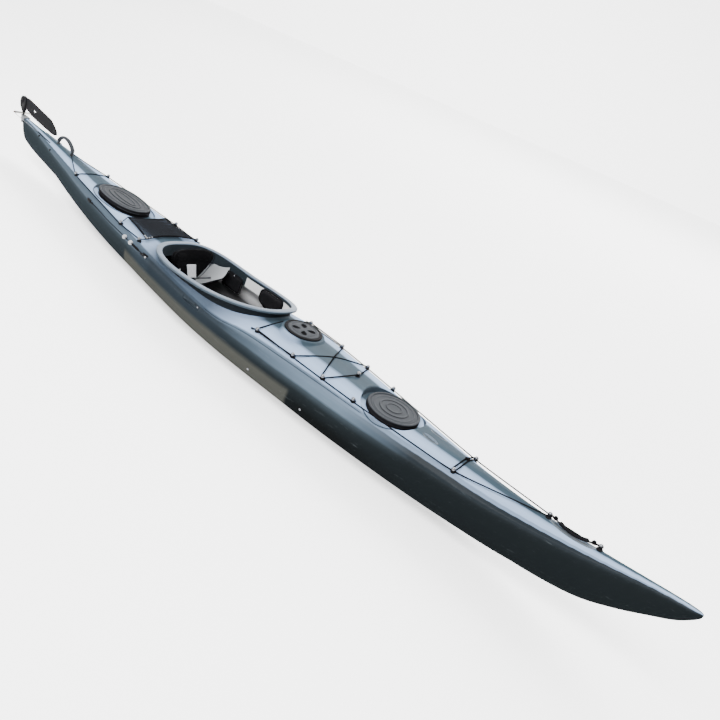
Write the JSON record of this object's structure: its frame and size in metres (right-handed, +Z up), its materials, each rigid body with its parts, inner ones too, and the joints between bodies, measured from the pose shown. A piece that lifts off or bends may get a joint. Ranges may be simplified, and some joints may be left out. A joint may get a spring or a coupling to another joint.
{
  "type": "sea kayak",
  "caption": "Long touring sea kayak with an oval cockpit, sealed hatches, deck lines and net, a padded seat, foot steering and a flip-up stern rudder.",
  "frame": {"origin": "on the keel, amidships along the hull and on its centre plane", "axes": "+X towards the bow, +Y to port, +Z up"},
  "size_m": [5.095, 0.5558, 0.4296],
  "materials": {
    "hull_plastic": "satin rotomoulded polyethylene, steel blue fading to near black along the sides",
    "hatch_rubber": "matt dark grey rubber",
    "black_plastic": "moulded black plastic",
    "grey_plastic": "light grey moulded plastic",
    "foam": "closed-cell foam, black",
    "pad_cloth": "black woven cover",
    "steel": "stainless steel",
    "alloy": "brushed aluminium",
    "cord": "braided black cord",
    "net": "knotted elastic net",
    "bead": "polished pale plastic"
  },
  "bodies": {
    "hull_body": {"aft_bulkhead": "foam", "aft_deck_line": "cord", "aft_hatch_rim": "black_plastic", "backrest_rod": "alloy", "bow_fitting_aft": "black_plastic", "bow_fitting_fore": "black_plastic", "bow_handle_cord": "cord", "bow_handle_grip": "hatch_rubber", "day_hatch_pod": "grey_plastic", "day_hatch_ring": "black_plastic", "deck_fitting_a_port": "black_plastic", "deck_fitting_a_starboard": "black_plastic", "deck_fitting_aft_front_port": "black_plastic", "deck_fitting_aft_front_starboard": "black_plastic", "deck_fitting_aft_middle_port": "black_plastic", "deck_fitting_aft_middle_starboard": "black_plastic", "deck_fitting_aft_rear_port": "black_plastic", "deck_fitting_aft_rear_starboard": "black_plastic", "deck_fitting_b_port": "black_plastic", "deck_fitting_b_starboard": "black_plastic", "deck_fitting_c_port": "black_plastic", "deck_fitting_c_starboard": "black_plastic", "deck_fitting_centre": "black_plastic", "deck_fitting_d_port": "black_plastic", "deck_fitting_d_starboard": "black_plastic", "deck_fitting_e_port": "black_plastic", "deck_fitting_e_starboard": "black_plastic", "deck_net": "net", "foot_rail_port": "alloy", "foot_rail_starboard": "alloy", "fore_bulkhead": "foam", "fore_bungee": "cord", "fore_deck_line": "cord", "fore_hatch_rim": "black_plastic", "hip_pad_port": "foam", "hip_pad_starboard": "foam", "hull_shell": "hull_plastic", "lift_cleat": "alloy", "lift_fairlead": "black_plastic", "lift_line": "cord", "paddle_bungee": "cord", "rudder_bracket": "alloy", "rudder_pin": "steel", "seat_pan": "grey_plastic", "steering_cable_port": "steel", "steering_cable_starboard": "steel", "stern_handle": "hatch_rubber", "thigh_brace_port": "foam", "thigh_brace_starboard": "foam"},
    "rudder_head_body": {"rudder_head": "black_plastic"},
    "rudder_blade_body": {"rudder_blade": "black_plastic"},
    "pedal_port_body": {"foot_pedal_port": "black_plastic"},
    "pedal_starboard_body": {"foot_pedal_starboard": "black_plastic"},
    "fore_cover_body": {"fore_hatch_cover": "hatch_rubber"},
    "aft_cover_body": {"aft_hatch_cover": "hatch_rubber"},
    "day_seal_body": {"day_hatch_seal": "hatch_rubber"},
    "day_lid_body": {"day_hatch_lid": "black_plastic"},
    "backrest_body": {"backrest": "pad_cloth"},
    "lift_grip_aft_body": {"lift_grip_aft": "bead"},
    "lift_grip_fore_body": {"lift_grip_fore": "bead"}
  },
  "joints": [
    {"name": "rudder_steering", "type": "hinge", "parent": "hull_body", "child": "rudder_head_body", "pos_m": [-2.526, 0, 0.31], "axis": [0, 0, 1], "range_deg": [-30, 30], "deforming": ["steering_cable_port", "steering_cable_starboard"]},
    {"name": "rudder_lift", "type": "hinge", "parent": "rudder_head_body", "child": "rudder_blade_body", "pos_m": [-2.552, 0, 0.37], "axis": [0, -1, 0], "range_deg": [0, 235]},
    {"name": "pedal_port_slide", "type": "slide", "parent": "hull_body", "child": "pedal_port_body", "axis": [0.996, -0.0894, 0], "range_m": [-0.04, 0.04]},
    {"name": "pedal_starboard_slide", "type": "slide", "parent": "hull_body", "child": "pedal_starboard_body", "axis": [0.996, 0.0894, 0], "range_m": [-0.04, 0.04]},
    {"name": "fore_cover_lift", "type": "slide", "parent": "hull_body", "child": "fore_cover_body", "axis": [0, 0, 1], "range_m": [0, 0.15]},
    {"name": "aft_cover_lift", "type": "slide", "parent": "hull_body", "child": "aft_cover_body", "axis": [0, 0, 1], "range_m": [0, 0.15]},
    {"name": "day_seal_lift", "type": "slide", "parent": "hull_body", "child": "day_seal_body", "axis": [0, 0, 1], "range_m": [0, 0.03]},
    {"name": "day_lid_hinge", "type": "hinge", "parent": "day_seal_body", "child": "day_lid_body", "pos_m": [0.405, 0.086, 0.328], "axis": [1, 0, 0], "range_deg": [-100, 0]},
    {"name": "backrest_tilt", "type": "hinge", "parent": "hull_body", "child": "backrest_body", "pos_m": [-0.5, 0, 0.113], "axis": [0, 1, 0], "range_deg": [-8, 40]},
    {"name": "lift_grip_aft_slide", "type": "slide", "parent": "hull_body", "child": "lift_grip_aft_body", "axis": [-0.9962, 0.0867, -0.0015], "range_m": [0, 0.11]},
    {"name": "lift_grip_fore_slide", "type": "slide", "parent": "hull_body", "child": "lift_grip_fore_body", "axis": [-0.9962, 0.0867, -0.0015], "range_m": [0, 0.11]}
  ],
  "couplings": [
    {"joint": "pedal_port_slide", "follows": "rudder_steering", "m_per_rad": -0.062},
    {"joint": "pedal_starboard_slide", "follows": "rudder_steering", "m_per_rad": 0.062},
    {"joint": "lift_grip_aft_slide", "follows": "rudder_lift", "m_per_rad": 0.024},
    {"joint": "lift_grip_fore_slide", "follows": "rudder_lift", "m_per_rad": 0.024}
  ]
}
